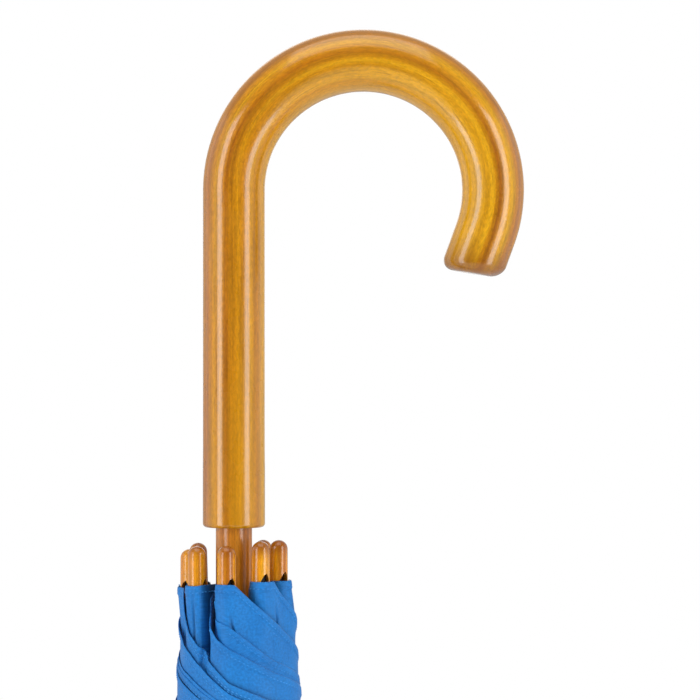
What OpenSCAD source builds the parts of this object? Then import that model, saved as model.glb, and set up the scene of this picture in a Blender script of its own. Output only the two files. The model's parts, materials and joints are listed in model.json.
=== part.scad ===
// Stick umbrella with a crook handle, closed and rolled.
// Z runs up the shaft. The origin is the centre of the ferrule's end face, and the crook bends towards +X.

/* [Overall] */
// Height from the ferrule's end to the top of the crook
total_h = 880; // [860:5:900]

/* [Handle] */
// Diameter of the grip and the crook
handle_d = 24; // [22:1:26]
// Radius of the crook's bend, at the middle of the wood
crook_r = 50; // [45:1:56]
// How far the crook turns
crook_turn = 200; // [180:5:215]
// Straight end after the bend
crook_end_l = 16; // [8:1:20]
// Straight grip below the bend
grip_l = 130; // [120:5:140]

/* [Shaft] */
// Diameter of the wooden shaft
shaft_d = 14; // [14:0.5:14.5]
// Diameter of the ferrule's cylinder
ferrule_d = 9; // [8:0.5:10]

/* [Frame] */
// Height of the rib hinges
crown_z = 84; // [82:1:86]
// Rib from its hinge to the end of its wooden tip
rib_l = 598; // [590:1:600]
// Rib hinge to stretcher rivet, which is also the stretcher's length
link_l = 256; // [250:1:264]
// How far a rib swings when the umbrella is open
open_angle = 68; // [60:1:72]
// Diameter of the wooden rib tips
tip_d = 7.4; // [6:0.1:7.5]
// Length of the wooden rib tips
tip_l = 19; // [18:1:22]

/* [Canopy] */
// Widest diameter of the rolled canopy
roll_d = 48; // [47:0.5:50]
// Height of the strap's middle
strap_z = 548; // [500:1:580]
// Width of the strap
strap_w = 22; // [16:1:26]

/* [Hidden] */
$fn = 48;
rib_count = 8;
first_rib = -97; // azimuth of rib 1, just left of the front
catch_azimuth = -66; // azimuth of both spring catches
ribs = [1 : rib_count];
// How far the rolled cloth pushes each rib's end sideways, counter-clockwise
side_push = [0, 0, 0, 4.8, 0, 4.6, 0, 0];
// How far each tip sits from its place on the rib, and which way its notch is turned from outwards
tip_seat = [-0.1, 1.4, 1.2, 0.2, 0, -0.7, -2.6, -0.7];
tip_turn = [35, -8, -44, 10, 20, 35, 60, 112];
gap = 0.05; // glued and pressed fits
play = 0.08; // sliding and turning fits

shaft_r = shaft_d / 2;
handle_r = handle_d / 2;
arc_z = total_h - crook_r - handle_r;
handle_z = arc_z - grip_l;
socket_l = 57; // shaft inside the handle

hinge_r = 10; // radius of the ring on which the ribs hinge
tip_ring_r = 17.5; // radius of the ring of tips at their ends
rib_lean = asin((tip_ring_r - hinge_r) / rib_l);
rib_w = 3.2; // fluted rib, across
rib_t = 2.6; // fluted rib, along the radius
wall = 0.7; // sheet of the flutes
blade_t = 1.4; // flattened hinge end
wire_r = 0.55;
rivet_r = 0.75;
rivet_in = 2.8; // rivet, in from the middle of the rib
strut_w = 3;
strut_t = 2;

rivet_at_r = hinge_r + link_l * sin(rib_lean) - rivet_in * cos(rib_lean);
rivet_at_z = crown_z + link_l * cos(rib_lean) + rivet_in * sin(rib_lean);
link = norm([rivet_at_r - hinge_r, rivet_at_z - crown_z]);
link_lean = atan2(rivet_at_r - hinge_r, rivet_at_z - crown_z);
runner_z = crown_z + 2 * link * cos(link_lean); // stretcher pins when closed
runner_open_z = crown_z + 2 * link * cos(link_lean + open_angle);

runner_tube_r = 8.7;
ring_r = 12.4;
runner_below = 8; // tube below the stretcher pins
runner_above = 54; // tube above them
catch_w = 2.2;
nose_r = 8; // radius that a catch's nose reaches
catch_l = 29; // anchor pin to the nose's flat face
low_anchor_z = runner_z + 18;
high_anchor_z = runner_open_z + runner_above + 1.5 + catch_l;

hem_z = 667;
// Outer radius of the rolled canopy as a share of its widest, against height
roll_outer = [[93, 0.56], [200, 0.70], [350, 0.85], [500, 0.965], [600, 1], [648, 0.985], [hem_z, 0.95]];

function side_lean(i) = asin(side_push[i - 1] / rib_l);
function rib_azimuth(i) = first_rib + (i - 1) * 360 / rib_count;
function names(stem) = [for (i = ribs) str(stem, i)];
function roll_r(z) = lookup(z, roll_outer) * roll_d / 2;

// Placement

module at_azimuth(a) {
    rotate([0, 0, a]) children();
}

// Local frame of a rib: origin at its hinge, Z along it, +X outwards
module in_rib(i) {
    at_azimuth(rib_azimuth(i)) translate([hinge_r, 0, crown_z])
        rotate([-side_lean(i), 0, 0]) rotate([0, rib_lean, 0]) children();
}

// A flat outline in radius and height becomes a plate that stands in the radial plane
module radial_plate(t) {
    rotate([90, 0, 0]) linear_extrude(t, center = true) children();
}

// Cylinder that lies across a radius
module cross_pin(r, l) {
    rotate([90, 0, 0]) cylinder(r = r, h = l, center = true);
}

// Channel section of sheet, open towards -X or +X
module flute(w, t, l, open_side) {
    difference() {
        translate([-t / 2, -w / 2, 0]) cube([t, w, l]);
        translate([open_side > 0 ? wall - t / 2 : -t / 2 - 1, wall - w / 2, -1])
            cube([t - wall + 1, w - 2 * wall, l + 2]);
    }
}

// Handle and shaft

module handle() {
    edge = 1.5;
    nose_edge = 5;
    color("goldenrod") difference() {
        union() {
            translate([0, 0, handle_z]) rounded_rod(handle_r, grip_l, edge);
            translate([crook_r, 0, arc_z]) rotate([0, crook_turn - 180, 0])
                translate([crook_r, 0, -crook_end_l]) rounded_rod(handle_r, crook_end_l, nose_edge);
            crook_bend();
        }
        translate([0, 0, handle_z - 1]) cylinder(r = shaft_r + gap, h = socket_l + 1 + gap);
    }
}

// Part of a torus, cut at the grip's top and at the start of the straight end
module crook_bend() {
    far = 2 * crook_r;
    translate([crook_r, 0, arc_z]) rotate([90, 0, 180]) difference() {
        rotate_extrude() translate([crook_r, 0]) circle(handle_r);
        linear_extrude(far, center = true)
            polygon([[0, 0], [far, 0], [far, -far], [-far, -far], [far * cos(crook_turn), far * sin(crook_turn)]]);
    }
}

// Rod that stands on z = 0, with a rounded lower edge
module rounded_rod(r, l, edge) {
    rotate_extrude() {
        translate([0, edge]) square([r, l - edge]);
        square([r - edge, l]);
        translate([r - edge, edge]) circle(edge);
    }
}

module shaft() {
    stub_r = 3.6;
    taper_low = 30;
    taper_top = 66;
    color("peru") difference() {
        union() {
            translate([0, 0, 4]) cylinder(r = stub_r, h = taper_low);
            translate([0, 0, taper_low + gap]) cylinder(r1 = 5.5, r2 = shaft_r, h = taper_top - taper_low - gap);
            translate([0, 0, taper_top]) cylinder(r = shaft_r, h = handle_z + socket_l - taper_top);
        }
        catch_slot(low_anchor_z - 3, 43.5);
        catch_slot(high_anchor_z - catch_l - 1.5, catch_l + 4.5);
        catch_pin_hole(low_anchor_z);
        catch_pin_hole(high_anchor_z);
        at_azimuth(first_rib + 22.5) translate([0, 0, crown_z - 4]) rotate([0, 90, 0])
            cylinder(r = 1, h = 30, center = true);
        at_azimuth(catch_azimuth + 180) translate([3, 0, stop_pin_z()]) rotate([0, 90, 0]) cylinder(r = 1, h = 10);
    }
}

module catch_slot(z, l) {
    at_azimuth(catch_azimuth) translate([1.5, -1.4, z]) cube([8, 2.8, l]);
}

module catch_pin_hole(z) {
    at_azimuth(catch_azimuth) translate([3.5, 0, z]) cross_pin(0.85, 20);
}

module ferrule() {
    color("silver") difference() {
        rotate_extrude() polygon([
            [0, 0], [ferrule_d / 2 - 0.8, 0], [ferrule_d / 2, 0.8], [ferrule_d / 2, 24], [5.6, 29], [5.6, 30], [0, 30]
        ]);
        translate([0, 0, 3.9]) cylinder(r = 3.6 + gap, h = 40);
    }
}

module canopy_cap() {
    color("silver") difference() {
        union() {
            translate([0, 0, crown_z - 15]) cylinder(r1 = 9, r2 = 11.4, h = 3);
            translate([0, 0, crown_z - 12]) cylinder(r = 11.4, h = 4.6);
        }
        cylinder(r = shaft_r + gap, h = 200);
    }
}

module canopy_rosette() {
    color("royalblue") translate([0, 0, crown_z - 7.3]) ring(shaft_r + gap, 13.4, 0.9);
}

module ring(r_in, r_out, h) {
    difference() {
        cylinder(r = r_out, h = h);
        translate([0, 0, -1]) cylinder(r = r_in, h = h + 2);
    }
}

// Crown: the fixed ring on which the ribs hinge

module crown() {
    crown_r = 12;
    slot_w = 1.9;
    color("dimgray") difference() {
        translate([0, 0, crown_z - 6.3]) ring(shaft_r + gap, crown_r, 12.3);
        for (i = ribs)
            at_azimuth(rib_azimuth(i)) translate([8.1, -slot_w / 2, crown_z - 2.1]) cube([10, slot_w, 20]);
        translate([0, 0, crown_z - wire_r - gap]) ring(hinge_r - wire_r - gap, 20, 2 * (wire_r + gap));
        at_azimuth(first_rib + 22.5) translate([0, 0, crown_z - 4]) rotate([0, 90, 0])
            cylinder(r = 1, h = 30, center = true);
    }
}

module crown_wire() {
    color("silver") translate([0, 0, crown_z]) rotate_extrude() translate([hinge_r, 0]) circle(wire_r);
}

module crown_pin() {
    color("silver") at_azimuth(first_rib + 22.5) translate([0, 0, crown_z - 4]) rotate([0, 90, 0])
        cylinder(r = 1 - gap, h = 23, center = true);
}

// Runner: the sleeve that slides on the shaft and carries the stretchers' inner ends

module runner() {
    slot_w = strut_w + 1.1;
    pocket_w = 6.2;
    pocket_r = 0.75;
    color("dimgray") difference() {
        union() {
            translate([0, 0, runner_z - runner_below]) cylinder(r = runner_tube_r, h = runner_below + runner_above);
            translate([0, 0, runner_z - 6]) cylinder(r = ring_r, h = 8.5);
        }
        translate([0, 0, runner_z - 20]) cylinder(r = shaft_r + play, h = 100);
        // Each stretcher's slot, and a pocket for its cross pin that is open on top
        for (i = ribs) at_azimuth(rib_azimuth(i)) {
            translate([8.8, -slot_w / 2, runner_z - 9]) cube([10, slot_w, 20]);
            translate([hinge_r - pocket_r, -pocket_w / 2, runner_z - pocket_r]) cube([2 * pocket_r, pocket_w, 10]);
        }
        // Keyway along the bore that clears the catches' noses, and the window that the lower one locks in
        at_azimuth(catch_azimuth) {
            translate([0, -1.6, runner_z - 20]) cube([nose_r + 0.15, 3.2, 100]);
            translate([0, -1.6, low_anchor_z + catch_l - 9]) cube([20, 3.2, 10.5]);
        }
    }
}

module runner_stop_pin() {
    color("silver") at_azimuth(catch_azimuth + 180) translate([3, 0, stop_pin_z()]) rotate([0, 90, 0])
        cylinder(r = 1 - gap, h = 5.2);
}

function stop_pin_z() = runner_open_z - runner_below - 1.5;

// A leaf catch, drawn in radius and height above its anchor pin, with the nose's flat face on top
module catch_outline(tail) {
    difference() {
        union() {
            translate([3.5, 0]) circle(1.8);
            polygon([[2.4, 0], [4.6, 0], [6.4, 16], [nose_r, 25], [nose_r, catch_l], [5, catch_l], [5, 20]]);
            if (tail) translate([5, catch_l - 4]) square([1.4, 15]);
        }
        translate([3.5, 0]) circle(0.9);
    }
}

module lower_catch() {
    color("silver") at_azimuth(catch_azimuth) translate([0, 0, low_anchor_z])
        radial_plate(catch_w) catch_outline(tail = true);
}

module upper_catch() {
    color("silver") at_azimuth(catch_azimuth) translate([0, 0, high_anchor_z])
        radial_plate(catch_w) mirror([0, 1]) catch_outline(tail = false);
}

module catch_pins() {
    color("silver") for (z = [low_anchor_z, high_anchor_z])
        at_azimuth(catch_azimuth) translate([3.5, 0, z]) cross_pin(0.8, 11);
}

// Ribs

module rib(i) {
    eye_r = 1.7;
    flute_from = 9;
    ear_h = 9;
    color("darkgray") in_rib(i) difference() {
        union() {
            cross_pin(eye_r, blade_t);
            translate([-rib_t / 2, -blade_t / 2, 0]) cube([rib_t, blade_t, flute_from + 3]);
            translate([0, 0, flute_from]) flute(rib_w, rib_t, rib_l - tip_l + 11 - flute_from, -1);
            for (side = [-1, 1])
                translate([-rivet_in - 1.6, side * (rib_w - wall) / 2 - wall / 2, link_l - ear_h / 2])
                    cube([rivet_in + 1.6, wall, ear_h]);
        }
        cross_pin(wire_r + 0.15, 10);
        translate([-rivet_in, 0, link_l]) cross_pin(rivet_r + gap, 10);
    }
}

module rib_rivet(i) {
    head_r = 1.4;
    head_t = 0.6;
    color("silver") in_rib(i) translate([-rivet_in, 0, link_l]) {
        cross_pin(rivet_r, rib_w + 2 * head_t);
        for (side = [-1, 1])
            translate([0, side * (rib_w / 2 + gap / 2 + head_t / 2), 0]) cross_pin(head_r, head_t);
    }
}

module rib_tip(i) {
    top_r = tip_d / 2 - 0.25;
    bore_r = 2.2;
    color("darkorange") in_rib(i) translate([0, 0, rib_l - tip_l + tip_seat[i - 1]]) difference() {
        union() {
            cylinder(r1 = tip_d / 2, r2 = top_r, h = tip_l - top_r);
            translate([0, 0, tip_l - top_r]) sphere(top_r);
        }
        translate([0, 0, -1]) cylinder(r = bore_r, h = 15.5);
        // Notch where the canopy's corner is sewn on
        rotate([0, 0, tip_turn[i - 1]]) rotate([90, 0, 90]) linear_extrude(10)
            polygon([[-3, -1], [2, -1], [2, 5], [0.9, 7], [-0.4, 6.2], [-2.2, 3]]);
    }
}

// Stretchers, from the rib's rivet to the runner

module stretcher(i) {
    eye_r = 1.5;
    flute_from = 7;
    end_block = 6;
    pin_r = 0.6;
    pin_l = 5.6;
    side = link_l * sin(side_lean(i));
    color("darkgray") at_azimuth(rib_azimuth(i)) translate([rivet_at_r, side, rivet_at_z])
        rotate([asin(side / link), 0, 0]) rotate([0, -link_lean, 0]) difference() {
            union() {
                cross_pin(eye_r, blade_t);
                translate([-strut_t / 2, -blade_t / 2, 0]) cube([strut_t, blade_t, flute_from + 3]);
                translate([0, 0, flute_from]) flute(strut_w, strut_t, link - end_block - flute_from + 1, 1);
                translate([-strut_t / 2, -strut_w / 2, link - end_block]) cube([strut_t, strut_w, end_block]);
                translate([0, 0, link]) cross_pin(strut_t / 2, strut_w);
                translate([0, 0, link]) cross_pin(pin_r, pin_l);
            }
            cross_pin(rivet_r + 0.1, 10);
        }
}

// Canopy: one gore's share of the rolled cloth between two ribs

module canopy_gore(i) {
    side_gap = 4; // from the ribs, in degrees
    outer = [for (p = roll_outer) [p[1] * roll_d / 2, p[0]]];
    inner = [[22, hem_z], [22, 655], [20.4, 648], [12.6, 93]];
    color("royalblue") at_azimuth(rib_azimuth(i) + side_gap)
        rotate_extrude(angle = 360 / rib_count - 2 * side_gap) polygon(concat(outer, inner));
}

// Strap that holds the roll closed

module strap() {
    color("royalblue") translate([0, 0, strap_z - strap_w / 2])
        ring(roll_r(strap_z) + 0.4, roll_r(strap_z) + 1.1, strap_w);
}

module strap_snap() {
    color("silver") at_azimuth(rib_azimuth(1)) translate([roll_r(strap_z) + 1.15, 0, strap_z]) rotate([0, 90, 0]) {
        cylinder(r = 5.5, h = 0.8);
        cylinder(r = 3.6, h = 1.5);
    }
}

handle();
shaft();
ferrule();
canopy_cap();
canopy_rosette();
crown();
crown_wire();
crown_pin();
runner();
lower_catch();
upper_catch();
catch_pins();
runner_stop_pin();
strap();
strap_snap();
for (i = ribs) {
    rib(i);
    rib_tip(i);
    rib_rivet(i);
    stretcher(i);
    canopy_gore(i);
}
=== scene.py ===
import json
import math

import bpy
import numpy as np
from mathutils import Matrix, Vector


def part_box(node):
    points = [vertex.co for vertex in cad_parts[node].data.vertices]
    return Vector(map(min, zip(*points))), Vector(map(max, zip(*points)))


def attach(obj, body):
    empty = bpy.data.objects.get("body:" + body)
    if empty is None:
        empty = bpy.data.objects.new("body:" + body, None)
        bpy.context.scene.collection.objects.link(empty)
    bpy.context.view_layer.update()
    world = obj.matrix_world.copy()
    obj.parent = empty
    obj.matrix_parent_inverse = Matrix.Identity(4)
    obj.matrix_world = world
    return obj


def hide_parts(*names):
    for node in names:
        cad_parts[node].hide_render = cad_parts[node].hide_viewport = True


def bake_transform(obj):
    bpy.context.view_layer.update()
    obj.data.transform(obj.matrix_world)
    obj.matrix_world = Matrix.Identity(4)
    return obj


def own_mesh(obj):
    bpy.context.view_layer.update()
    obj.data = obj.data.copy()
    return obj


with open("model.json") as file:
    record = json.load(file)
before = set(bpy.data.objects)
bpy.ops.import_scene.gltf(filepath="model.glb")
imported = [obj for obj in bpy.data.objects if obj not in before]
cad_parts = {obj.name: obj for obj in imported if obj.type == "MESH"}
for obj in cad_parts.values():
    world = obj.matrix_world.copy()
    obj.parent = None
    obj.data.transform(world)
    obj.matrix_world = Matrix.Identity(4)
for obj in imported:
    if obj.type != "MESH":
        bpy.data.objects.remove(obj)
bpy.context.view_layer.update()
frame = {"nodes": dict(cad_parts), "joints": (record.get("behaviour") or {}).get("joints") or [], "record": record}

# --- Places and sizes from the frame, in metres ---------------------------------------------------

MM = 0.001
RIBS = 8
STEP = 2 * math.pi / RIBS

joints = {j["name"]: j for j in frame["joints"]}
hinges = [np.array(joints[f"rib_{i}_hinge"]["pos_m"]) for i in range(1, RIBS + 1)]
rib_azimuth = [math.atan2(h[1], h[0]) for h in hinges]

handle_lo, handle_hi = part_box("handle")
handle_r = handle_hi.y
crook_r = (handle_hi.x - handle_lo.x) / 2 - handle_r
arc_z = handle_hi.z - crook_r - handle_r
grip_z = handle_lo.z
CROOK_TURN = math.radians(200)
CROOK_END = 16 * MM  # straight end after the bend
rod_l = arc_z - grip_z + crook_r * CROOK_TURN + CROOK_END  # along the handle's middle
shaft_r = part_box("shaft")[1].y
hem_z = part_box("canopy_gore_1")[1].z
strap_lo, strap_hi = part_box("strap")
tips = [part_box(f"rib_tip_{i}") for i in range(1, RIBS + 1)]


def polar(azimuth, r, z):
    return np.stack([r * np.cos(azimuth), r * np.sin(azimuth), z + 0 * r], -1)


def smooth(x, low, high):
    t = np.clip((x - low) / (high - low), 0, 1)
    return t * t * (3 - 2 * t)


# --- Mesh helpers ---------------------------------------------------------------------------------


def make_object(name, verts, faces, material=None, shade_smooth=True):
    mesh = bpy.data.meshes.new(name)
    mesh.from_pydata([tuple(v) for v in verts], [], [tuple(f) for f in faces])
    mesh.validate()
    obj = bpy.data.objects.new(name, mesh)
    bpy.context.scene.collection.objects.link(obj)
    if material:
        mesh.materials.append(material)
    if shade_smooth:
        mesh.polygons.foreach_set("use_smooth", [True] * len(mesh.polygons))
    return obj


def grid_faces(rows, cols, offset=0, closed=False, flip=False):
    """Quads of a grid of rows x cols points; closed joins the last column to the first."""
    faces = []
    last = cols if closed else cols - 1
    for r in range(rows - 1):
        for c in range(last):
            d = (c + 1) % cols
            quad = (
                offset + r * cols + c,
                offset + r * cols + d,
                offset + (r + 1) * cols + d,
                offset + (r + 1) * cols + c,
            )
            faces.append(quad[::-1] if flip else quad)
    return faces


def thick_sheet(name, front, back, material):
    """A closed thin solid between two grids of points of the same shape (rows, cols, 3)."""
    rows, cols = front.shape[:2]
    n = rows * cols
    verts = np.concatenate([front.reshape(-1, 3), back.reshape(-1, 3)])
    faces = grid_faces(rows, cols) + grid_faces(rows, cols, n, flip=True)
    edge = (
        list(range(cols))
        + [r * cols + cols - 1 for r in range(1, rows)]
        + [(rows - 1) * cols + c for c in range(cols - 2, -1, -1)]
        + [r * cols for r in range(rows - 2, 0, -1)]
    )
    for a, b in zip(edge, edge[1:] + edge[:1]):
        faces.append((b, a, a + n, b + n))
    return make_object(name, verts, faces, material)


def add_vector_attribute(obj, name, values):
    attribute = obj.data.attributes.new(name, "FLOAT_VECTOR", "POINT")
    attribute.data.foreach_set("vector", np.asarray(values, np.float32).ravel())


def add_value_attribute(obj, name, values):
    attribute = obj.data.attributes.new(name, "FLOAT", "POINT")
    attribute.data.foreach_set("value", np.asarray(values, np.float32).ravel())


# --- Materials ------------------------------------------------------------------------------------


class Shader:
    """A small helper to write node trees as lines of code."""

    def __init__(self, name):
        self.material = bpy.data.materials.new(name)
        self.material.use_nodes = True
        self.tree = self.material.node_tree
        self.bsdf = self.tree.nodes["Principled BSDF"]

    def node(self, kind, **settings):
        made = self.tree.nodes.new(kind)
        for key, value in settings.items():
            setattr(made, key, value)
        return made

    def link(self, source, target):
        self.tree.links.new(source, target)

    def set(self, **values):
        for key, value in values.items():
            socket = self.bsdf.inputs[key.replace("_", " ")]
            if hasattr(value, "is_output"):
                self.link(value, socket)
            else:
                socket.default_value = value
        return self

    def coordinates(self, attribute=None):
        if attribute:
            return self.node("ShaderNodeAttribute", attribute_name=attribute).outputs["Vector"]
        return self.node("ShaderNodeTexCoord").outputs["Object"]

    def mapping(self, vector, scale):
        made = self.node("ShaderNodeMapping")
        self.link(vector, made.inputs["Vector"])
        made.inputs["Scale"].default_value = scale
        return made.outputs["Vector"]

    def noise(self, vector, scale, detail=4, roughness=0.55, distortion=0.0):
        made = self.node("ShaderNodeTexNoise")
        self.link(vector, made.inputs["Vector"])
        made.inputs["Scale"].default_value = scale
        made.inputs["Detail"].default_value = detail
        made.inputs["Roughness"].default_value = roughness
        made.inputs["Distortion"].default_value = distortion
        return made.outputs["Fac"]

    def wave(self, vector, scale, distortion, detail, direction):
        made = self.node("ShaderNodeTexWave", wave_type="BANDS", bands_direction=direction)
        self.link(vector, made.inputs["Vector"])
        made.inputs["Scale"].default_value = scale
        made.inputs["Distortion"].default_value = distortion
        made.inputs["Detail"].default_value = detail
        return made.outputs["Fac"]

    def ramp(self, factor, *stops):
        made = self.node("ShaderNodeValToRGB")
        self.link(factor, made.inputs["Fac"])
        elements = made.color_ramp.elements
        while len(elements) < len(stops):
            elements.new(0.5)
        for element, (place, colour) in zip(elements, stops):
            element.position = place
            grey = (colour, colour, colour) if not hasattr(colour, "__len__") else colour
            element.color = (*grey, 1)
        return made.outputs["Color"]

    def mix(self, factor, a, b, blend="MIX"):
        made = self.node("ShaderNodeMix", data_type="RGBA", blend_type=blend)
        sockets = made.inputs
        for socket, value in ((sockets["Factor"], factor), (sockets[6], a), (sockets[7], b)):
            if hasattr(value, "is_output"):
                self.link(value, socket)
            elif hasattr(value, "__len__"):
                socket.default_value = (*value, 1)
            else:
                socket.default_value = value
        return made.outputs[2]

    def math(self, operation, a, b=0.0):
        made = self.node("ShaderNodeMath", operation=operation)
        for socket, value in zip(made.inputs, (a, b)):
            if hasattr(value, "is_output"):
                self.link(value, socket)
            else:
                socket.default_value = value
        return made.outputs[0]

    def bump(self, height, strength, distance, after=None):
        made = self.node("ShaderNodeBump")
        made.inputs["Strength"].default_value = strength
        made.inputs["Distance"].default_value = distance
        self.link(height, made.inputs["Height"])
        if after is not None:
            self.link(after, made.inputs["Normal"])
        return made.outputs["Normal"]


def wood(name, coordinates, dark, middle, light, roughness, coat, grain=1.0, coat_rough=0.11, burnt=None):
    """Varnished wood, its grain along Z, in metres; burnt is the pair of heights where it darkens."""
    s = Shader(name)
    v = s.coordinates(coordinates)
    streaks = s.noise(s.mapping(v, (1, 1, 0.035)), 420 * grain, 5, 0.62, 0.3)
    bands = s.noise(s.mapping(v, (1, 0.9, 0.012)), 130 * grain, 3, 0.5, 0.6)
    pores = s.noise(s.mapping(v, (1, 1, 0.02)), 2600, 2, 0.5)
    clouds = s.noise(s.mapping(v, (1, 1, 0.2)), 45, 3, 0.6)
    base = s.ramp(bands, (0.34, dark), (0.48, middle), (0.62, light))
    fine = s.ramp(streaks, (0.32, 0.55), (0.55, 1.0), (0.75, 1.14))
    colour = s.mix(0.75, base, fine, "MULTIPLY")
    flecks = s.noise(s.mapping(v, (1, 1, 0.3)), 1500, 3, 0.7)
    colour = s.mix(0.85, colour, s.ramp(flecks, (0.35, 0.72), (0.65, 1.16)), "MULTIPLY")
    colour = s.mix(s.ramp(pores, (0.60, 0.0), (0.72, 0.55)), colour, [c * 0.45 for c in dark])
    colour = s.mix(s.ramp(clouds, (0.35, 0.0), (0.7, 0.35)), colour, light)
    if burnt:
        height = s.node("ShaderNodeSeparateXYZ")
        s.link(v, height.inputs["Vector"])
        share = s.node("ShaderNodeMapRange", interpolation_type="SMOOTHSTEP")
        s.link(height.outputs["Z"], share.inputs["Value"])
        share.inputs["From Min"].default_value, share.inputs["From Max"].default_value = burnt
        share.inputs["To Max"].default_value = 0.85
        colour = s.mix(share.outputs["Result"], colour, [c * 0.6 for c in dark])
    rough = s.ramp(s.noise(v, 90, 3), (0.3, roughness * 0.8), (0.7, roughness * 1.25))
    height = s.mix(0.5, streaks, pores)
    normal = s.bump(height, 0.12, 0.0002)
    s.set(Base_Color=colour, Roughness=rough, Normal=normal, Specular_IOR_Level=0.25)
    s.set(Coat_Weight=coat, Coat_Roughness=coat_rough, Coat_IOR=1.5)
    return s.material


def cloth(name, colour, shade):
    """Plain-weave polyester with a fine weave, slub and a slight sheen. No UVs are needed."""
    s = Shader(name)
    v = s.coordinates("cloth")
    warp = s.wave(v, 520, 0.4, 1.0, "X")
    weft = s.wave(v, 520, 0.4, 1.0, "Y")
    weave = s.math("MULTIPLY", warp, weft)
    slub = s.noise(s.mapping(v, (1, 0.12, 1)), 900, 3)
    patches = s.noise(s.coordinates(), 60, 4, 0.6)
    lit = s.ramp(patches, (0.32, shade), (0.66, colour))
    fibre = s.mix(s.ramp(weave, (0.0, 0.0), (1.0, 0.16)), lit, [min(1, c * 1.4 + 0.01) for c in colour])
    fibre = s.mix(s.ramp(slub, (0.55, 0.0), (0.8, 0.25)), fibre, shade)
    fibre = s.mix(0.8, fibre, s.ramp(s.noise(v, 1000, 2), (0.32, 0.80), (0.68, 1.16)), "MULTIPLY")
    # Painted shade: the cloth is painted darker where its attribute says, in the valleys between tips, in a strip
    # above each hem and in the darts
    painted_shade = s.node("ShaderNodeAttribute", attribute_name="painted_shade").outputs["Fac"]
    fibre = s.mix(s.math("MULTIPLY", painted_shade, 0.85), fibre, [c * 0.22 for c in shade])
    normal = s.bump(weave, 0.25, 0.00012)
    normal = s.bump(slub, 0.10, 0.0002, normal)
    normal = s.bump(s.noise(v, 110, 4, 0.6), 0.35, 0.0006, normal)
    rough = s.ramp(slub, (0.3, 0.50), (0.7, 0.62))
    s.set(Base_Color=fibre, Roughness=rough, Normal=normal, Specular_IOR_Level=0.25)
    s.set(Sheen_Weight=0.14, Sheen_Roughness=0.4, Sheen_Tint=(0.75, 0.87, 1, 1))
    return s.material


def metal(name, colour, roughness):
    """Plated metal with fine scratches and slightly dull patches."""
    s = Shader(name)
    v = s.coordinates()
    scratches = s.noise(v, 3000, 3, 0.6)
    dull = s.noise(v, 160, 3)
    tint = s.ramp(dull, (0.3, [c * 0.86 for c in colour]), (0.7, colour))
    rough = s.ramp(scratches, (0.3, roughness * 0.7), (0.7, roughness * 1.5))
    normal = s.bump(scratches, 0.12, 0.00005)
    s.set(Base_Color=tint, Metallic=1.0, Roughness=rough, Normal=normal)
    return s.material


def lacquer(name, colour):
    """Thin lacquer over rolled steel, worn a little in scattered patches."""
    s = Shader(name)
    v = s.coordinates()
    rolled = s.noise(s.mapping(v, (1, 1, 0.03)), 2400, 3, 0.6)
    worn = s.noise(v, 420, 4, 0.7)
    tint = s.mix(s.ramp(worn, (0.66, 0.0), (0.74, 0.6)), colour, [c * 3 + 0.02 for c in colour])
    rough = s.ramp(rolled, (0.3, 0.22), (0.7, 0.40))
    normal = s.bump(rolled, 0.15, 0.00006)
    s.set(Base_Color=tint, Roughness=rough, Normal=normal)
    return s.material


def plastic(name, colour):
    """Moulded plastic with a fine eggshell texture."""
    s = Shader(name)
    v = s.coordinates()
    grain = s.noise(v, 2200, 3)
    scuffs = s.noise(s.mapping(v, (1, 1, 0.2)), 260, 4)
    tint = s.ramp(scuffs, (0.4, colour), (0.8, [c * 1.9 + 0.01 for c in colour]))
    rough = s.ramp(grain, (0.3, 0.36), (0.7, 0.52))
    normal = s.bump(grain, 0.2, 0.0001)
    s.set(Base_Color=tint, Roughness=rough, Normal=normal)
    return s.material


HONEY_DARK = (0.39, 0.116, 0.001)
HONEY = (0.60, 0.242, 0.001)
HONEY_LIGHT = (0.70, 0.345, 0.006)
SHAFT_DARK = (0.37, 0.096, 0.001)
SHAFT = (0.55, 0.172, 0.002)
SHAFT_LIGHT = (0.67, 0.250, 0.010)
AMBER_DARK = (0.40, 0.090, 0.001)
AMBER = (0.72, 0.245, 0.001)
AMBER_LIGHT = (0.90, 0.400, 0.008)
BLUE = (0.011, 0.192, 0.560)
BLUE_SHADE = (0.007, 0.150, 0.470)
THREAD = (0.050, 0.310, 0.760)

# Heights between which the varnish gets darker, towards the sawn end of the crook and the tips' tops
NOSE_BURNT = (rod_l - 16 * MM, rod_l + 3 * MM)
TIP_TOP = max(tip[1].z for tip in tips)
TIP_BURNT = (TIP_TOP - 8 * MM, TIP_TOP - 1 * MM)

mat_handle = wood("handle_wood", "grain", HONEY_DARK, HONEY, HONEY_LIGHT, 0.28, 0.9, 1.0, 0.13, NOSE_BURNT)
mat_shaft = wood("shaft_wood", None, SHAFT_DARK, SHAFT, SHAFT_LIGHT, 0.34, 0.8, 1.4, 0.14)
mat_tip = wood("tip_wood", None, AMBER_DARK, AMBER, AMBER_LIGHT, 0.26, 1.0, 2.2, 0.20, TIP_BURNT)
mat_cloth = cloth("canopy_cloth", BLUE, BLUE_SHADE)
mat_thread = cloth("hem_thread", THREAD, BLUE)
mat_nickel = metal("nickel", (0.74, 0.73, 0.70), 0.16)
mat_steel = lacquer("frame_steel", (0.030, 0.030, 0.034))
mat_wire = metal("wire", (0.66, 0.66, 0.68), 0.28)
mat_plastic = plastic("black_plastic", (0.025, 0.025, 0.028))

slot_material = {
    "handle_wood": mat_handle,
    "shaft_wood": mat_shaft,
    "tip_wood": mat_tip,
    "canopy_cloth": mat_cloth,
    "nickel": mat_nickel,
    "frame_steel": mat_steel,
    "wire": mat_wire,
    "black_plastic": mat_plastic,
}
for part in frame["record"]["subparts"]:
    node = frame["nodes"][part["node"]]
    node.data.materials.clear()
    node.data.materials.append(slot_material[part["material_slot"]])


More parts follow.
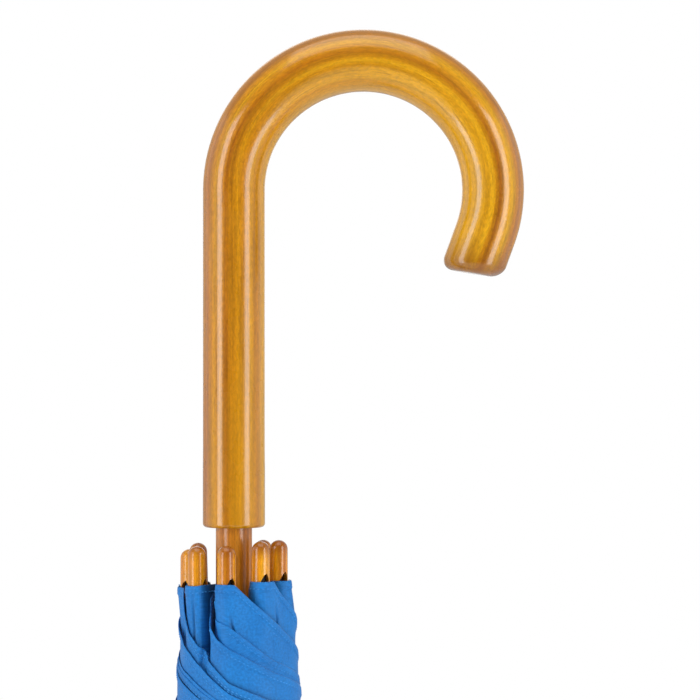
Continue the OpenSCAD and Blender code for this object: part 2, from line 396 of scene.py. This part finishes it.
# --- Handle: one swept rod with its grain along the bend --------------------------------------------


def handle_path(grip_l, turn, end_l):
    """Places and directions along the middle of the handle: [(s, x, z, direction angle), ...]."""
    path = []
    for s in np.linspace(0, grip_l, 60):
        path.append((s, 0.0, grip_z + s, 0.0))
    for a in np.linspace(0, turn, 140)[1:]:
        x = crook_r - crook_r * math.cos(a)
        path.append((grip_l + crook_r * a, x, arc_z + crook_r * math.sin(a), a))
    s0, x0, z0, a = path[-1]
    for s in np.linspace(0, end_l, 24)[1:]:
        path.append((s0 + s, x0 + s * math.sin(a), z0 + s * math.cos(a), a))
    return path


def build_handle():
    edge, nose_edge, skew = 1.5 * MM, 5 * MM, 0.19
    path = handle_path(arc_z - grip_z, CROOK_TURN, CROOK_END)
    columns = 96
    around = np.linspace(0, 2 * math.pi, columns, endpoint=False)
    rings, grain = [], []

    def ring(s, x, z, a, r):
        # The end of the crook is sawn off a little skew
        across, depth = r * np.cos(around), r * np.sin(around)
        on = skew * across * smooth(s, rod_l - 22 * MM, rod_l)
        ring_x = x + across * math.cos(a) + on * math.sin(a)
        ring_z = z - across * math.sin(a) + on * math.cos(a)
        rings.append(np.stack([ring_x, depth, ring_z], -1))
        grain.append(np.stack([across, depth, np.full(columns, s)], -1))

    bore_r = shaft_r + 0.05 * MM
    # Face of the lower end, from the bore outwards, then the rounded edge
    ring(0.02, 0, grip_z + 20 * MM, 0, bore_r)
    ring(0.0, 0, grip_z + 0.3 * MM, 0, bore_r)
    ring(0.0, 0, grip_z, 0, bore_r + 0.3 * MM)
    for r in np.linspace(bore_r + 0.8 * MM, handle_r - edge, 5):
        ring(0.0, 0, grip_z, 0, r)
    for t in np.linspace(0, math.pi / 2, 8)[1:]:
        s = edge * (1 - math.cos(t))
        ring(s, 0, grip_z + s, 0, handle_r - edge + edge * math.sin(t))
    for s, x, z, a in path:
        if edge < s < rod_l - nose_edge:
            ring(s, x, z, a, handle_r)
    s1, x1, z1, a1 = path[-1]
    for t in np.linspace(math.pi / 2, 0, 14):
        back = nose_edge - nose_edge * math.cos(t)
        x, z = x1 - back * math.sin(a1), z1 - back * math.cos(a1)
        ring(s1 - back, x, z, a1, handle_r - nose_edge + nose_edge * math.sin(t))
    for r in np.linspace(handle_r - nose_edge, 0.15 * MM, 6)[1:]:
        ring(s1, x1, z1, a1, r)
    points = np.array(rings)
    faces = grid_faces(len(rings), columns, closed=True, flip=True)
    faces.append(tuple((len(rings) - 1) * columns + c for c in range(columns))[::-1])
    faces.append(tuple(range(columns)))
    obj = make_object("handle_wood", points.reshape(-1, 3), faces, mat_handle)
    add_vector_attribute(obj, "grain", np.array(grain).reshape(-1, 3))
    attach(obj, "root")
    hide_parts("handle")
    return obj


build_handle()


# --- Canopy, closed: eight gores, each folded double and wrapped round the roll ----------------------

LAYER = 0.36 * MM  # from one gore to the one that lies over it
WRAP = math.radians(490)  # how far a folded gore reaches round at its hem
HEM_R = 23 * MM
HEM_BAND = 3.0 * MM
EDGE = math.radians(13.5)  # from a rib's middle to the cloth's edge beside its tip
TUCK = math.radians(130)  # how far the cloth turns in round the tip there
LOW_Z = 81.5 * MM
COVER = (4.4, 3.7, 3.4, 3.0, 3.0, 3.5, 4.4, 4.0)  # how much of each tip's lower end is in the cloth
TOP_Z = [tip[0].z + cover * MM for tip, cover in zip(tips, COVER)]

# Radius of the innermost layer, and how far the roll leans towards +X, in millimetres against height
BASE_Z = (86, 93, 100, 200, 350, 548, 575, 600, 622, 636, 645, 655, 662, 668)
BASE_R = (14.1, 13.8, 13.3, 15.5, 18.0, 19.8, 20.1, 21.4, 22.6, 22.2, 21.8, 22.4, 22.1, 21.5)
LEAN_Z = (560, 622, 640, 655, 664, 670)
LEAN_X = (0, 1.9, 1.5, 1.2, 0.4, 0.3)

# How far each gore's hem has dropped, in millimetres, at these angles past its own rib
HEM_ANGLES = (2, 9, 17, 21.5, 23, 25.5, 33, 45, 90, 135, 180, 225, 490)
HEM_DROPS = (
    (0, 0, 2.9, 4.6, 5.2, 6.2, 9.0, 13.5, 25.5, 34.5, 43.0, 51.0, 89.0),
    (0, 0, 3.1, 4.9, 5.5, 6.6, 9.6, 14.5, 26.5, 36.0, 45.0, 53.0, 90.0),
    (0, 0, 3.1, 5.0, 5.7, 6.9, 10.2, 15.5, 27.0, 37.0, 45.5, 52.5, 88.0),
    (0, 0, 0.6, 2.0, 3.2, 5.2, 9.0, 15.0, 23.0, 30.0, 38.5, 49.0, 89.0),
    (0, 0, 3.3, 5.4, 6.2, 7.4, 11.1, 17.0, 28.0, 35.0, 46.0, 54.0, 91.0),
    (0, 0, 3.1, 5.2, 6.2, 7.8, 10.8, 15.6, 24.8, 39.5, 48.0, 55.0, 90.0),
    (0, 0, 0, 0, 0.1, 0.4, 3.4, 16.4, 34.6, 42.5, 49.5, 56.0, 91.0),
    (0, 0, -0.6, 1.5, 6.5, 14.5, 19.5, 23.0, 32.5, 39.0, 47.0, 53.0, 89.0),
)
# How far the inner layer's hem stands above the outer one's, in millimetres, one rib on and two ribs on
INNER_RISE = ((-2, -1.5), (-2, -1.5), (-1, -1), (-2, -1), (-1, 1.5), (-1.5, -1), (-1.5, -1), (8.6, 4.6))
# How deep the cloth sinks between each rib and the next, in millimetres
VALLEY = (0.3, 0.6, 1.5, 2.0, 2.0, 2.5, 1.2, 9.6)
# Small darts pressed into a gore: which gore, its angle past the rib, slant per metre and half width in
# degrees, then top, bottom and depth in millimetres
DARTS = (
    (0, 2.0, 340, 1.5, 658, 651, 1.1),
    (1, 6.5, 340, 1.6, 661, 650, 1.8),
    (2, -5.0, 340, 1.3, 664, 658, 0.9),
    (7, 6.5, -60, 1.3, 672, 648, 0.9),
)


def rib_at(index, z):
    """How far a closed rib has been pushed round, and its middle's radius, at a height."""
    low, (tip_lo, tip_hi) = hinges[index % RIBS], tips[index % RIBS]
    high = (tip_lo + tip_hi) / 2
    t = (z - low[2]) / (high.z - low[2])
    x, y = low[0] + (high.x - low[0]) * t, low[1] + (high.y - low[1]) * t
    pushed = np.mod(np.arctan2(y, x) - rib_azimuth[index % RIBS] + math.pi, 2 * math.pi) - math.pi
    return pushed, np.hypot(x, y)


def hem_drop(index, angle):
    """Drop of a gore's hem at an angle past its rib, with rounded corners."""
    dense = np.radians(np.arange(-30, 520, 0.5))
    drops = np.interp(dense, np.radians(HEM_ANGLES), HEM_DROPS[index])
    kernel = np.hanning(11)
    drops = np.convolve(np.pad(drops, 5, mode="edge"), kernel / kernel.sum(), mode="valid")
    return np.interp(angle, dense, drops) * MM


def base_radius(z):
    return np.interp(z, np.array(BASE_Z) * MM, np.array(BASE_R) * MM)


def sink(index, angle, z, lift):
    """How far the cloth lies inside the round shape between tips, at an angle past rib `index`."""
    total = np.zeros_like(angle + z)
    for gap in range(-1, RIBS + 4):
        start = gap * STEP + rib_at(index + gap, z)[0]
        end = (gap + 1) * STEP + rib_at(index + gap + 1, z)[0]
        t = (angle - start) / (end - start)
        depth = VALLEY[(index + gap) % RIBS]
        if depth > 5:
            shape = smooth(t, 0.26, 0.34) * (1 - 0.65 * smooth(t, 0.46, 0.50) - 0.35 * smooth(t, 0.50, 0.58))
        else:
            shape = np.sin(np.clip(t, 0, 1) * math.pi) ** 2
        loose = depth * MM * shape * smooth(z, 626 * MM, 650 * MM)
        loose = loose * np.exp(-np.maximum(lift - 0.5, 0) / 0.9)
        taut = 1.3 * MM * (1 - np.cos(2 * math.pi * t)) / 2
        taut = taut * (0.25 + 0.75 * smooth(z, 630 * MM, 660 * MM)) * np.exp(-lift / 2)
        total = total + np.where((t >= 0) & (t < 1), taut + loose, 0)
    return total


def creases(index, angle, z):
    """Shallow pulls and darts in a gore's outer layer, in metres, and how much painted shade each dart's crease
    gets.
    """
    pull = np.sin(angle * 5.3 + z * 190 + index * 2.1) * np.sin(angle * 2.1 - z * 75 + index)
    depth = 0.14 * MM * pull
    dark = 0 * depth
    for gore, at, lean, width, top, bottom, deep in DARTS:
        if gore == index:
            slant = np.radians(at + lean * (top * MM - z))
            across = np.exp(-(((angle - slant) / math.radians(width)) ** 2))
            along = smooth(z, (bottom - 8) * MM, bottom * MM) * (1 - smooth(z, bottom * MM, top * MM))
            depth = depth - deep * MM * across * along
            # Painted shade in the dart's crease, stronger the deeper it is
            dark = dark + min(1, deep) * across * along
    return depth, dark


def gore_layer(index, angles, v, inner):
    """Angle past rib `index`, radius and height of a wrapped layer; v is 0 at the crown and 1 at the hem."""
    start = STEP if inner else 0.0
    narrow = HEM_R * v / base_radius(LOW_Z + v * (hem_z - LOW_Z) * 0.93)
    narrow = np.clip(narrow + (1 - narrow) * smooth(v, 0.86, 0.97), 1.02 * STEP / WRAP, 1)
    turned = np.where(angles > start, start + (angles - start) * narrow, angles + 0 * v)
    top = TOP_Z[index]
    drop = hem_drop(index, angles)
    hem = top - drop
    if inner:
        near, far = INNER_RISE[index]
        rise = np.interp(angles, (STEP, 2 * STEP, 4 * STEP, WRAP), (near, far, 0.8 * far, 0)) * MM
        beside = 1 - smooth(angles, STEP - EDGE, STEP - 0.65 * EDGE)
        hem = (hem + rise) * (1 - beside) + TOP_Z[(index + 1) % RIBS] * beside
    z = LOW_Z + v * (hem - LOW_Z)
    lift = np.maximum(turned / STEP - (0.5 if inner else 0.0), 0.5 if inner else 0.0)
    pushed, rib_r = rib_at(index + (1 if inner else 0), z)
    turned = turned + pushed * np.exp(-np.maximum(turned - start, 0) / 0.5)
    r = base_radius(z) + LAYER * lift - sink(index, turned, z, lift)
    # Beside its own rib the cloth turns in round the tip: all the way on its left, and on its right only
    # into a deep valley
    past = turned - start - pushed
    bow = base_radius(z) - rib_r + (0.5 * LAYER if inner else 0)
    side = rib_r * np.cos(past) + np.sqrt(np.maximum(bow**2 - (rib_r * np.sin(past)) ** 2, 0))
    if VALLEY[index] > 5 and not inner:
        limit = side + 2 * MM * (1 - smooth(z, 630 * MM, 655 * MM))
        r = np.where((past > 0) & (past < math.radians(15)), np.minimum(r, limit), r)
    if not inner:
        r = r + creases(index, turned, z)[0]
    round_tip = np.minimum(past, 0) / EDGE * TUCK
    x, y = rib_r + bow * np.cos(round_tip), bow * np.sin(round_tip)
    r = np.where(past < 0, np.hypot(x, y), r)
    turned = np.where(past < 0, start + pushed + np.arctan2(y, x), turned)
    return turned, r, z


def columns(end, fine):
    """Angles of a folded gore's columns, closest together where the cloth is seen; fine is in degrees."""
    tucked = np.linspace(-EDGE, 0, 16)[:-1]
    near = np.arange(0, math.radians(75), math.radians(fine))
    middle = np.arange(math.radians(75), math.radians(200), math.radians(2.5 * fine))
    far = np.arange(math.radians(200), end, math.radians(7))
    return np.concatenate([tucked, near, middle, far, [end]])


def roll_lean(z):
    return np.interp(z, np.array(LEAN_Z) * MM, np.array(LEAN_X) * MM)


def on_roll(index, turned, r, z):
    """Points in the row frame from angles past rib `index`."""
    points = polar(rib_azimuth[index] + turned, r, z)
    points[..., 0] += roll_lean(z)
    return points


def build_folded_gore(index):
    band = 1 - HEM_BAND / (hem_z - LOW_Z)
    body = np.concatenate([np.linspace(0, 0.9, 22), np.linspace(0.9, 0.992, 44)[1:]])
    v = np.concatenate([body, [band - 0.0005, band, (band + 1) / 2, 0.9996, 1.0003, 0.9996, band]])[:, None]
    # The hem's band stands out from the cloth, and turns back in under its lower edge
    band_out = [0.24, 0.46, 0.60, 0.56, 0.36, 0.16, 0.10]
    out = np.concatenate([0.22 * smooth(body, 0.975, 1), band_out])[:, None] * MM
    angles = columns(WRAP, 0.7 if VALLEY[index] > 5 else 1.2)[None, :]
    turned, r, z = gore_layer(index, angles, v, inner=False)
    outer = on_roll(index, turned, r + out, z)
    outer_flat = np.stack([HEM_R * v * angles, z + 0 * angles, 0 * z], -1)
    # Painted shadow: the next gore's hem lies on this one, and a narrow strip above it is painted darker as that
    # hem's contact shadow; the darts' creases get painted shade too
    above = z - TOP_Z[index - 1] + hem_drop(index - 1, angles + STEP)
    shade = np.exp(-np.maximum(above, 0) / (1.1 * MM))
    painted_contact_shadow = np.where(above > -0.5 * MM, shade, 0) * smooth(v, 0.8, 0.86)
    outer_painted_shade = 0.8 * painted_contact_shadow + 0.6 * creases(index, turned, z)[1]
    angles = columns(WRAP - STEP, 1.8)[None, ::-1] + STEP
    turned, r, z = gore_layer(index, angles, v, inner=True)
    inner = on_roll(index, turned, r + out * 0.6, z)
    inner_flat = np.stack([HEM_R * v * (2 * WRAP - angles), z + 0 * angles, 0 * z], -1)
    points = np.concatenate([outer, inner], axis=1)
    flat = np.concatenate([outer_flat, inner_flat], axis=1)
    rows, cols = points.shape[:2]
    obj = make_object(f"folded_gore_{index + 1}", points.reshape(-1, 3), grid_faces(rows, cols), mat_cloth)
    add_vector_attribute(obj, "cloth", flat.reshape(-1, 3))
    # Painted shade: the deeper the cloth lies inside the roll's round shape, in the valleys between the tips, the
    # darker it is painted; the painted contact shadow and the darts' painted shade are added in
    reach = np.hypot(points[..., 0] - roll_lean(points[..., 2]), points[..., 1])
    depth = (base_radius(points[..., 2]) - reach) / MM
    painted_shade = smooth(depth, 1.5, 8.0)
    painted_shade[:, : outer_painted_shade.shape[1]] = np.maximum(painted_shade[:, : outer_painted_shade.shape[1]], outer_painted_shade)
    add_value_attribute(obj, "painted_shade", np.clip(painted_shade, 0, 1))
    return obj


def beads(name, centres, along, out, length, radius, material):
    """Small rounded stitches, one at each centre."""
    sides, rings = 5, ((-0.5, 0.3), (-0.25, 1.0), (0.25, 1.0), (0.5, 0.3))
    across = np.cross(along, out)
    verts, faces = [], []
    for c, a, b, o in zip(centres, along, across, out):
        first = len(verts)
        for place, width in rings:
            for k in range(sides):
                turn = 2 * math.pi * k / sides
                side = b * math.cos(turn) + o * math.sin(turn)
                verts.append(c + a * place * length + side * radius * width)
        faces += grid_faces(len(rings), sides, first, closed=True)
        faces.append(tuple(first + k for k in range(sides)))
        faces.append(tuple(first + (len(rings) - 1) * sides + k for k in reversed(range(sides))))
    return make_object(name, verts, faces, material)


def unit(v):
    return v / np.maximum(np.linalg.norm(v, axis=-1, keepdims=True), 1e-12)


def build_hem_stitches(index):
    """Rows of stitches along both layers' hems, just above the band's lower edge."""
    pitch, length = 1.7 * MM, 1.0 * MM
    v = 1 - 2.5 * MM / (hem_z - LOW_Z)
    centres, tangents, normals = [], [], []
    for inner, first, lift in ((False, -0.8 * EDGE, 0.46 * MM), (True, STEP, 0.32 * MM)):
        angles = np.linspace(first, WRAP, 4000)
        points = on_roll(index, *gore_layer(index, angles, v + 0 * angles, inner))
        steps = np.linalg.norm(np.diff(points, axis=0), axis=1)
        run = np.concatenate([[0], np.cumsum(steps)])
        pick = np.clip(np.searchsorted(run, np.arange(1 * MM, run[-1] - 1 * MM, pitch)), 1, len(points) - 2)
        along = unit(points[pick + 1] - points[pick - 1])
        out = points[pick] * np.array([1, 1, 0])
        out = unit(out - along * (out * along).sum(-1, keepdims=True))
        centres.append(points[pick] + out * lift)
        tangents.append(along)
        normals.append(out)
    centres, tangents, normals = (np.concatenate(part) for part in (centres, tangents, normals))
    return beads(f"hem_stitches_{index + 1}", centres, tangents, normals, length, 0.19 * MM, mat_thread)


def build_closed_canopy(index):
    gore = build_folded_gore(index)
    stitches = build_hem_stitches(index)
    for obj in (gore, stitches):
        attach(obj, "root")
        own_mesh(obj)
    return gore, stitches


# --- Canopy, open: the same gores as they span from rib to rib ---------------------------------------

HEM_RISE = 44 * MM  # how far the hem's middle lies nearer to the crown than its corners
RIB_OUT = 1.3 * MM  # from a rib's middle to its outer face
SEAM_GAP = 0.07 * MM  # from a seam's middle to either gore's edge
SPAN_Z = 88 * MM  # where the cloth between two ribs starts, beside the crown
GORE_CHORD = 0.434  # between two neighbouring tips when the umbrella is open
GORE_SIDE = 0.583  # the cloth's length along a rib


def span_grid(index, rows, shares):
    """Rest points of a gore between its ribs: rows from the crown (0) to the hem (1), shares across it."""
    a, b = rib_azimuth[index], rib_azimuth[index] + STEP
    middle = (a + b) / 2
    across = np.array([-math.sin(middle), math.cos(middle), 0])
    outward = np.array([math.cos(middle), math.sin(middle), 0])

    def rib_line(k, azimuth, z):
        pushed, r = rib_at(k, z)
        end = tips[k % RIBS][0].z
        over_crown = 2.1 * MM * (1 - smooth(z, 88 * MM, 98 * MM))
        over_tip = 2.2 * MM * smooth(z, end - 8 * MM, end - 2 * MM)
        out = 0.85 * MM + over_crown + over_tip
        side = SEAM_GAP if k == index else -SEAM_GAP
        return polar(azimuth + pushed + side / r, r + RIB_OUT + out, z)

    heights = SPAN_Z + rows * (TOP_Z[index] - SPAN_Z)
    left, right = rib_line(index, a, heights), rib_line(index + 1, b, heights)
    start, end = (left @ across).max(), (right @ across).min()
    # The blend's weight is a smooth step of the place across, so equal shares of the turn lie at these places
    ease = 0.5 - np.sin(np.arcsin(1 - 2 * np.clip(shares, 0, 1)) / 3)
    place = start + ease * (end - start)
    grid = np.zeros((len(rows), len(shares), 3))
    for c, share in enumerate(shares):
        z = heights - rows**3 * HEM_RISE * 4 * share * (1 - share)
        l, r = rib_line(index, a, z), rib_line(index + 1, b, z)
        if share <= 0:
            grid[:, c] = l
        elif share >= 1:
            grid[:, c] = r
        else:
            depth = (l @ outward) * (1 - share) + (r @ outward) * share
            bulge = 1.1 * MM * math.sin(math.pi * share) * smooth(z, 95 * MM, 140 * MM)
            level = across * place[c] + outward * (depth + bulge)[:, None]
            grid[:, c] = level + np.array([0, 0, 1]) * z[:, None]
    return grid, across * start, across * end


def build_open_gore(index):
    band = 1 - HEM_BAND / (TOP_Z[index] - SPAN_Z)
    body = np.concatenate([np.linspace(0, 0.06, 8), np.linspace(0.06, band, 56)[1:]])
    rows = np.concatenate([body, [band + 0.0004, 0.9995, 1.0]])
    shares = np.linspace(0, 1, 33)
    grid, start, end = span_grid(index, rows, shares)
    outward = unit(grid * np.array([1, 1, 0]))
    thick = np.where(rows > band, 0.30, 0.12)[:, None, None] * MM
    half = outward * thick / 2
    obj = thick_sheet(f"open_gore_{index + 1}", grid + half, grid - half, mat_cloth)
    flat_x = (shares - 0.5)[None, :] * rows[:, None] * GORE_CHORD
    flat = np.stack([flat_x, rows[:, None] * GORE_SIDE + 0 * flat_x, 0 * flat_x], -1).reshape(-1, 3)
    add_vector_attribute(obj, "cloth", np.concatenate([flat, flat]))
    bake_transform(obj)
    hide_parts(f"canopy_gore_{index + 1}")
    return obj


# A gore's flat size is its chord and its side, and its area is that of the triangle with those sides,
# which is 0.541 m high; the folded cloth is 0.583 m long at its middle too, so it is a little larger
for k in range(RIBS):
    folded, hem_row = build_closed_canopy(k)
    spread = build_open_gore(k)


# --- Strap with its snap, and the cloth at the crown -------------------------------------------------

STRAP_T = 0.34 * MM
strap_z = (strap_lo.z + strap_hi.z) / 2
strap_w = strap_hi.z - strap_lo.z
strap_r = strap_hi.x - 0.65 * MM  # inner face of the strap's first turn
strap_out = np.array([math.cos(rib_azimuth[0]), math.sin(rib_azimuth[0]), 0])
STRAP_START = rib_azimuth[0] - math.radians(58)
STRAP_REACH = math.radians(58 + 360 + 34)


def strap_place(share, lift):
    """Angle and radius along the strap, which lies over its own first end after a full turn."""
    angle = share * STRAP_REACH
    over = smooth(angle, math.radians(352), math.radians(366))
    r = strap_r + lift + over * (STRAP_T + 0.04 * MM)
    return STRAP_START + angle, r


def build_strap():
    shares = np.linspace(0, 1, 260)[None, :]
    across = np.concatenate([[-0.5, -0.487], np.linspace(-0.46, 0.46, 13), [0.487, 0.5]])[:, None]
    # The free end is rounded, and the cloth puckers a little along its two rows of stitches
    left = (1 - shares) * STRAP_REACH * strap_r
    half = np.sqrt(np.clip(1 - (1 - np.clip(left / (9 * MM), 0, 1)) ** 2, 0.0004, 1))
    pucker = 0.03 * MM * np.sin(shares * 300) * np.exp(-(((abs(across) - 0.41) / 0.05) ** 2))
    rim = 0.10 * MM * smooth(abs(across), 0.46, 0.5)
    z = strap_z + across * strap_w * half
    angle, r_in = strap_place(shares, rim + 0 * across)
    r_out = r_in + STRAP_T - 2 * rim + pucker
    front, back = polar(angle + 0 * across, r_out, z), polar(angle + 0 * across, r_in, z)
    obj = thick_sheet("strap_band", front, back, mat_cloth)
    flat = np.stack([shares * STRAP_REACH * strap_r + 0 * across, across * strap_w + 0 * shares, 0 * z], -1)
    add_vector_attribute(obj, "cloth", np.concatenate([flat.reshape(-1, 3), flat.reshape(-1, 3)]))
    return obj


def build_strap_stitches():
    length = STRAP_REACH * strap_r
    run = np.arange(2 * MM, length - 9 * MM, 2.3 * MM)
    rows = []
    for side in (-1, 1):
        angle, r = strap_place(run / length, STRAP_T + 0.02 * MM)
        rows.append(polar(angle, r, strap_z + side * 0.41 * strap_w + 0 * run))
    centres = np.concatenate(rows)
    out = unit(centres * np.array([1, 1, 0]))
    along = np.cross(np.array([0, 0, 1]), out)
    return beads("strap_stitches", centres, along, out, 1.6 * MM, 0.17 * MM, mat_thread)


def lathe(name, profile, material, columns, ripple=None, closed=False):
    """Turn an outline of (radius, height) round Z. ripple may move each ring; closed joins last to first."""
    around = np.linspace(0, 2 * math.pi, columns, endpoint=False)
    rings = []
    for r, z in profile:
        rr, zz = (r + 0 * around, z + 0 * around) if ripple is None else ripple(r, z, around)
        rings.append(polar(around, rr, zz))
    faces = grid_faces(len(rings), columns, closed=True, flip=True)
    if closed:
        last = (len(rings) - 1) * columns
        faces += [(last + c, c, (c + 1) % columns, last + (c + 1) % columns) for c in range(columns)]
    return make_object(name, np.array(rings).reshape(-1, 3), faces, material)


def build_snap():
    """Pressed cap of a snap fastener: a flat flange, a rolled rim and a shallow dome."""
    flange = [(0.2, -0.9), (5.2, -0.9), (5.5, -0.75), (5.6, -0.4), (5.5, 0.0), (5.1, 0.25), (4.6, 0.25)]
    rim = [(4.2, 0.1), (3.9, 0.12), (3.7, 0.5), (3.6, 0.9), (3.35, 1.2), (3.0, 1.32), (2.7, 1.25)]
    dome = [(2.5, 1.12), (2.2, 1.12), (1.6, 1.2), (0.9, 1.26), (0.02, 1.28)]
    outline = flange + rim + dome
    obj = lathe("strap_snap_cap", [(r * MM, z * MM) for r, z in outline], mat_nickel, 64)
    across = np.cross(np.array([0, 0, 1]), strap_out)
    place = strap_out * (strap_r + 2 * STRAP_T + 0.1 * MM) + np.array([0, 0, strap_z])
    local = np.array([tuple(v.co) for v in obj.data.vertices])
    world = place + local[:, :1] * across + local[:, 1:2] * np.array([0, 0, 1]) + local[:, 2:] * strap_out
    obj.data.vertices.foreach_set("co", world.astype(np.float32).ravel())
    return obj


strap = build_strap()
strap_stitches = build_strap_stitches()
snap = build_snap()
for piece in (strap, strap_stitches, snap):
    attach(piece, "rib_1")
# Each of these pieces gets a mesh of its own
for piece in (strap, strap_stitches):
    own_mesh(piece)
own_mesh(snap)
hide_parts("strap")
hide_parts("strap_snap")

rosette_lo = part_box("canopy_rosette")[0]


def pinked(r, z, around):
    """Zigzag edge and slight waves of the rosette."""
    edge = smooth(r, 11.5 * MM, 13.2 * MM)
    teeth = 0.45 * MM * (2 * abs(np.mod(around * 32 / (2 * math.pi), 1) - 0.5) - 0.5)
    return r + teeth * edge, z + 0.06 * MM * edge * np.sin(around * 8)


def gathered(r, z, around):
    """Small pleats of the cloth where it is drawn in under the rosette."""
    deep = 0.10 * MM * smooth(r, 9 * MM, 13 * MM)
    # Its rim stands higher between the ribs, behind the gores' arched edges
    rim = 1.9 * MM * smooth(z, rosette_lo.z + 3 * MM, rosette_lo.z + 5.5 * MM)
    rise = rim * np.sin(RIBS / 2 * (around - rib_azimuth[0])) ** 2
    return r + deep * np.sin(around * 40), z + 0.5 * deep * np.sin(around * 40 + 1) + rise


def build_crown_cloth():
    low, inner = rosette_lo.z, shaft_r + 0.1 * MM
    under = [(r * MM, low + 0.02 * MM) for r in np.linspace(inner / MM, 13.1, 16)]
    over = [(r, z + 0.22 * MM) for r, z in under[::-1]]
    rosette = lathe("crown_rosette", under + over, mat_cloth, 128, pinked, True)
    curve = [(7.2, 0.30), (9.5, 0.30), (11.5, 0.30), (12.7, 0.45), (13.6, 1.0)]
    curve += [(14.2, 1.9), (14.6, 3.1), (14.85, 4.4), (14.9, 5.8)]
    outer = [(r * MM, low + z * MM) for r, z in curve]
    inside = [(r - 0.22 * MM, z + 0.18 * MM) for r, z in outer[::-1]]
    cup = lathe("crown_cup", outer + inside, mat_cloth, 160, gathered, True)
    for piece in (rosette, cup):
        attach(piece, "root")
        points = np.array([tuple(v.co) for v in piece.data.vertices])
        add_vector_attribute(piece, "cloth", points[:, :3])
    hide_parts("canopy_rosette")


build_crown_cloth()


# --- Camera, light and floor -------------------------------------------------------------------------

SCALE = 0.386 * MM  # metres in one of the 700 steps across the picture
VIEW_DISTANCE = 1.1


def look_at(obj, target):
    direction = Vector(target) - obj.location
    obj.rotation_euler = direction.to_track_quat("-Z", "Y").to_euler()


def build_camera():
    data = bpy.data.cameras.new("camera")
    camera = bpy.data.objects.new("camera", data)
    bpy.context.scene.collection.objects.link(camera)
    width = 700 * SCALE
    centre_x = 0.0448
    centre_z = 0.7563
    camera.location = (centre_x, -VIEW_DISTANCE, centre_z)
    look_at(camera, (centre_x, 0, centre_z))
    data.sensor_width = 36
    data.lens = 36 * VIEW_DISTANCE / width
    data.clip_start = 0.01
    bpy.context.scene.camera = camera


def area_light(name, place, target, width, height, power):
    data = bpy.data.lights.new(name, "AREA")
    data.shape = "RECTANGLE"
    data.size, data.size_y = width, height
    data.energy = power
    light = bpy.data.objects.new(name, data)
    light.location = place
    bpy.context.scene.collection.objects.link(light)
    look_at(light, target)
    return light


def build_light():
    middle = (0, 0, 0.72)
    for side, name in ((-1, "softbox_left"), (1, "softbox_right")):
        a = math.radians(52) * side
        place = (1.5 * math.sin(a), -1.5 * math.cos(a), 0.80)
        area_light(name, place, middle, 0.50, 1.6, 12)
    area_light("top_fill", (0, -0.4, 2.4), middle, 1.6, 1.6, 13)
    area_light("side_left", (-1.7, 0.2, 0.9), middle, 2.0, 1.8, 6)
    area_light("side_right", (1.7, 0.2, 0.9), middle, 2.0, 1.8, 5)
    area_light("back", (0, 1.8, 1.3), middle, 1.4, 1.4, 5)
    # A white room: the camera sees it at full strength, it lights the object at less than half of that,
    # and in reflections it gets darker towards -Y, like dark flags there
    world = bpy.data.worlds.new("studio")
    world.use_nodes = True
    tree = world.node_tree
    background = tree.nodes["Background"]
    background.inputs["Color"].default_value = (1, 1, 1, 1)
    path = tree.nodes.new("ShaderNodeLightPath")
    strength = tree.nodes.new("ShaderNodeMath")
    strength.operation = "MULTIPLY"
    shares = []
    for socket, ray, low, high in ((0, "Is Camera Ray", 0.46, 1.0), (1, "Is Glossy Ray", 1.0, 1.0)):
        share = tree.nodes.new("ShaderNodeMapRange")
        share.inputs["To Min"].default_value = low
        share.inputs["To Max"].default_value = high
        tree.links.new(path.outputs[ray], share.inputs["Value"])
        tree.links.new(share.outputs["Result"], strength.inputs[socket])
        shares.append(share)
    around = tree.nodes.new("ShaderNodeSeparateXYZ")
    tree.links.new(tree.nodes.new("ShaderNodeTexCoord").outputs["Generated"], around.inputs["Vector"])
    flags = tree.nodes.new("ShaderNodeMapRange")
    for name, value in (("From Min", -0.45), ("From Max", 0.15), ("To Min", 0.15), ("To Max", 0.9)):
        flags.inputs[name].default_value = value
    tree.links.new(around.outputs["Y"], flags.inputs["Value"])
    tree.links.new(flags.outputs["Result"], shares[1].inputs["To Max"])
    tree.links.new(strength.outputs["Value"], background.inputs["Strength"])
    bpy.context.scene.world = world
    bpy.context.scene.view_settings.view_transform = "Standard"


def build_floor():
    s = Shader("floor_paint")
    tint = s.ramp(s.noise(s.coordinates(), 3, 3), (0.3, 0.74), (0.7, 0.78))
    s.set(Base_Color=tint, Roughness=0.8)
    around = np.linspace(0, 2 * math.pi, 128, endpoint=False)
    edge = polar(around, 2.0, 0 * around)
    floor = make_object("floor", edge, [tuple(range(128))], s.material, shade_smooth=False)


build_camera()
build_light()
build_floor()
